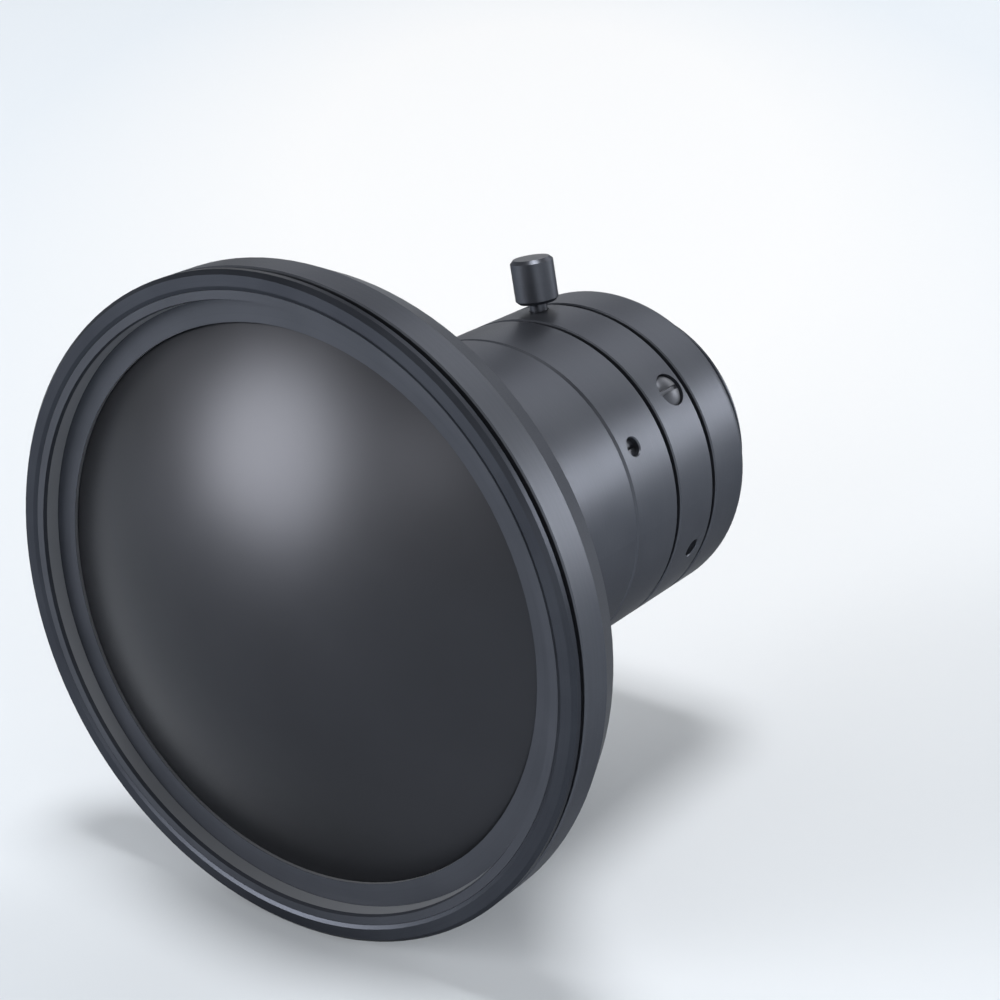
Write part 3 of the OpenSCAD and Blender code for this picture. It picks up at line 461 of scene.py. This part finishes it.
def lens_tree():
    """A lens turned about its axis, with one point at each pole so that no seam or pinch shows there. A lens
    whose domed face looks towards the mount has its radii and its bevel negative"""
    t = Tree("meniscus")
    front_r = t.size("Front radius", "NodeSocketFloat", DOME_R)
    front_c = t.size("Front centre", "NodeSocketFloat", DOME_CENTRE)
    hollow_r = t.size("Hollow radius", "NodeSocketFloat", HOLLOW_R)
    hollow_c = t.size("Hollow centre", "NodeSocketFloat", HOLLOW_CENTRE)
    edge_r = t.size("Edge radius", "NodeSocketFloat", DOME_EDGE_R)
    hollow_d = t.size("Hollow diameter", "NodeSocketFloat", HOLLOW_D)
    seat = t.size("Seat", "NodeSocketFloat", DOME_SEAT)
    bevel = t.size("Edge bevel", "NodeSocketFloat", 0.15)
    rows = t.size("Rows of one face", "NodeSocketInt", 56)
    around = t.size("Segments", "NodeSocketInt", 192)
    finish = t.size("Finish", "NodeSocketMaterial", None)
    m = t.maths
    # The ground edge between the two polished faces: distance from the flange, distance from the axis
    chamfer = m("ABSOLUTE", bevel)
    rim = m("ADD", front_c, m("MULTIPLY", front_r, m("COSINE", m("ARCSINE", m("DIVIDE", edge_r, front_r)))))
    edge = [
        (m("SUBTRACT", rim, bevel), edge_r), (m("ADD", seat, bevel), edge_r),
        (seat, m("SUBTRACT", edge_r, chamfer)), (seat, m("MULTIPLY", hollow_d, 0.5)),
    ]
    row_count = m("ADD", m("MULTIPLY", rows, 2.0), float(len(edge)))
    flat, u, row = t.grid_rows(around, row_count)
    last = m("SUBTRACT", rows, 1.0)
    on_front = m("LESS_THAN", row, m("SUBTRACT", rows, 0.5))
    back_row = m("SUBTRACT", m("SUBTRACT", row_count, 1.0), row)
    on_back = m("LESS_THAN", back_row, m("SUBTRACT", rows, 0.5))
    on_edge = m("SUBTRACT", m("SUBTRACT", 1.0, on_front), on_back)
    front_turn = m("MULTIPLY", m("ARCSINE", m("DIVIDE", m("SUBTRACT", edge_r, chamfer), front_r)),
                   m("DIVIDE", row, last))
    back_turn = m("MULTIPLY", m("ARCSINE", m("DIVIDE", m("MULTIPLY", hollow_d, 0.5), hollow_r)),
                  m("DIVIDE", back_row, last))
    edge_row = m("SUBTRACT", row, rows)

    def either(front, back, between):
        """Takes the value of the front face, of the hollow or of the edge, whichever the row lies on"""
        faces = m("ADD", m("MULTIPLY", on_back, back), m("MULTIPLY", on_edge, between))
        return m("ADD", m("MULTIPLY", on_front, front), faces)

    forward = either(m("ADD", front_c, m("MULTIPLY", front_r, m("COSINE", front_turn))),
                     m("ADD", hollow_c, m("MULTIPLY", hollow_r, m("COSINE", back_turn))),
                     t.pick(edge_row, [e[0] for e in edge]))
    out = either(m("MULTIPLY", front_r, m("SINE", front_turn)),
                 m("MULTIPLY", hollow_r, m("SINE", back_turn)),
                 t.pick(edge_row, [e[1] for e in edge]))
    t.turn(flat, u, m("MULTIPLY", forward, -1.0), out, finish)
    return t


def outward(mesh):
    """Faces point out of the closed shape"""
    bm = bmesh.new()
    bm.from_mesh(mesh)
    bmesh.ops.dissolve_degenerate(bm, dist=1e-7, edges=bm.edges)
    bmesh.ops.recalc_face_normals(bm, faces=bm.faces)
    bm.to_mesh(mesh)
    bm.free()


def grown(name, tree, values, crease=30):
    """The plain mesh that a tree gives with these values"""
    base = bpy.data.objects.new(name + "_seed", bpy.data.meshes.new(name + "_seed"))
    bpy.context.scene.collection.objects.link(base)
    step = base.modifiers.new("grow", "NODES")
    step.node_group = tree.group
    for key, value in values.items():
        step[tree.ids[key]] = value
    shown = base.evaluated_get(bpy.context.evaluated_depsgraph_get())
    mesh = bpy.data.meshes.new_from_object(shown)
    base.modifiers.remove(step)
    bpy.data.objects.remove(base)
    mesh.name = name
    outward(mesh)
    mesh.shade_smooth()
    mesh.set_sharp_from_angle(angle=math.radians(crease))
    piece = bpy.data.objects.new(name, mesh)
    bpy.context.scene.collection.objects.link(piece)
    return piece


thread_finish = anodised("mount thread, dark satin", THREAD_SLATE, 0.34)
thread = grown("mount_screw_thread", thread_tree(), {"Finish": thread_finish})
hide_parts("mount_thread_ring")
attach(thread, "mount")
lens = lens_tree()
dome = grown("domed_front_element", lens, {"Finish": finishes["front_glass"]}, 20)
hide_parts("front_element")
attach(dome, "front_group")
rear = grown("rear_lens", lens, {
    "Front radius": -REAR_R, "Front centre": REAR_R - REAR_POLE, "Hollow radius": -REAR_FLAT_R,
    "Hollow centre": math.sqrt(REAR_FLAT_R ** 2 - REAR_FACE_R ** 2) - REAR_FLAT, "Edge radius": REAR_EDGE_R,
    "Hollow diameter": 2 * REAR_FACE_R,
    "Seat": -REAR_FLAT, "Edge bevel": -0.12, "Finish": finishes["inner_glass"]}, 20)
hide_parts("rear_element")
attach(rear, "mount")


# Floor, light and camera

# The room's brightness by height: the sine of the height above the horizon, and the tone there
ROOM = [(-1.0, 0.75), (-0.04, 0.75), (0.0, 0.6), (0.1, 0.75), (0.19, 0.9), (0.30, 0.9), (0.39, 0.45),
        (0.5, 0.2), (1.0, 0.05)]
ROOM_TINT = (0.95, 0.98, 1.0)
ROOM_STRENGTH = 3.0
LAMP_TARGET = Vector((0, -0.03, 0))
LAMP_AWAY = 1.5
# Soft boxes: azimuth from straight in front towards the right, height, width in metres, radiance
LAMPS = [
    ("overhead", 0, 90, 0.50, 21.6),
    ("front_left", 326, 11.5, 0.92, 10.6),
    ("front", 5, 23, 0.50, 3.2),
    ("right", 60, 14, 0.75, 1.1),
    ("right_high", 60, 38, 0.75, 0.9),
    ("back_right", 145, 13, 0.55, 9.6),
    ("back_left", 212, 18, 0.75, 2.2),
    ("back_high", 178, 35, 0.85, 2.4),
]


def floor():
    """Pale paper that fills the view, with a painted pool of light: lighter in the middle and painted darker
    and bluer towards its edges, a painted falloff of light
    """
    side = 1.0
    away, across = (-0.571, 0.821), (0.821, 0.571)
    pool_middle_tone, pool_edge_tone = (0.765, 0.77, 0.78), (0.67, 0.71, 0.755)
    mesh = bpy.data.meshes.new("floor")
    corners = [(side * x, side * y, FLOOR_Z * MM) for x, y in ((-1, -1), (1, -1), (1, 1), (-1, 1))]
    mesh.from_pydata(corners, [], [(0, 1, 2, 3)])
    made = bpy.data.objects.new("floor", mesh)
    bpy.context.scene.collection.objects.link(made)
    f = Finish("pale paper", (0.80, 0.81, 0.82), 0.9, 0.0, 0.0)
    parts = f.node("ShaderNodeSeparateXYZ")
    f.link(f.place, parts.inputs[0])

    def share(towards, middle, reach):
        """Squared distance from the middle of the painted pool of light, in one direction"""
        along = f.maths("ADD", f.maths("MULTIPLY", parts.outputs[0], towards[0]),
                        f.maths("MULTIPLY", parts.outputs[1], towards[1]))
        scaled = f.maths("DIVIDE", f.maths("SUBTRACT", along, middle), reach)
        return f.maths("MULTIPLY", scaled, scaled)

    # Painted light: the colour runs from the lit middle tone to a darker, bluer edge tone, a painted falloff
    # of light across the floor
    painted_light_pool = f.maths("SQRT", f.maths("ADD", share(away, 0.25, 0.30), share(across, 0.0, 0.10)))
    fibre = f.noise(FIBRE, 4.0)
    edge = f.maths("ADD", f.spread(painted_light_pool, 0.0, 1.0, 0.5, 1.15), f.spread(fibre, -0.02, 0.02))
    f.colour(f.blend(edge, pool_middle_tone, pool_edge_tone))
    mesh.materials.append(f.mat)


def soft_lamp(name, azimuth, height, across, radiance):
    """A round soft box that looks at the lens from a direction, given in degrees"""
    turn, lift = math.radians(azimuth), math.radians(height)
    toward = Vector((math.sin(turn) * math.cos(lift), -math.cos(turn) * math.cos(lift), math.sin(lift)))
    data = bpy.data.lights.new(name, "AREA")
    data.shape = "DISK"
    data.size = across
    data.energy = radiance * math.pi * math.pi * (across / 2) ** 2
    lamp = bpy.data.objects.new(name, data)
    bpy.context.scene.collection.objects.link(lamp)
    spot = LAMP_TARGET + toward.normalized() * LAMP_AWAY
    lamp.matrix_world = Matrix.Translation(spot) @ (-toward).to_track_quat("-Z", "Y").to_matrix().to_4x4()


def world():
    """A room that is brighter near the horizon than overhead"""
    made = bpy.data.worlds.new("studio")
    made.use_nodes = True
    tree = made.node_tree
    way = tree.nodes.new("ShaderNodeTexCoord")
    parts = tree.nodes.new("ShaderNodeSeparateXYZ")
    tree.links.new(way.outputs["Generated"], parts.inputs[0])
    height = tree.nodes.new("ShaderNodeMapRange")
    height.inputs["From Min"].default_value = -1.0
    tree.links.new(parts.outputs[2], height.inputs["Value"])
    bands = tree.nodes.new("ShaderNodeValToRGB")
    bands.color_ramp.interpolation = "EASE"
    stops = bands.color_ramp.elements
    while len(stops) < len(ROOM):
        stops.new(0.5)
    for stop, (up, tone) in zip(stops, ROOM):
        stop.position = (up + 1) / 2
        stop.color = tuple(tone / ROOM_STRENGTH * c for c in ROOM_TINT) + (1,)
    tree.links.new(height.outputs[0], bands.inputs["Fac"])
    back = tree.nodes["Background"]
    back.inputs["Strength"].default_value = ROOM_STRENGTH
    tree.links.new(bands.outputs[0], back.inputs["Color"])
    bpy.context.scene.world = made


def camera():
    """The photograph's view: the camera's own right, up and back, and its place"""
    data = bpy.data.cameras.new("camera")
    data.sensor_width = 36
    data.lens = 78.7986
    data.clip_start = 0.005
    data.clip_end = 20
    made = bpy.data.objects.new("camera", data)
    bpy.context.scene.collection.objects.link(made)
    right = (0.82107423, 0.57082144, 0.0)
    up = (-0.2125595, 0.30574733, 0.92808245)
    back = (0.52976936, -0.76202458, 0.37237477)
    spot = (0.10391346589, -0.16795519763, 0.07296765632)
    made.matrix_world = Matrix([[right[k], up[k], back[k], spot[k]] for k in range(3)] + [[0, 0, 0, 1]])
    bpy.context.scene.camera = made


floor()
world()
camera()
for lamp in LAMPS:
    soft_lamp(*lamp)

bpy.context.scene.view_settings.view_transform = "Standard"
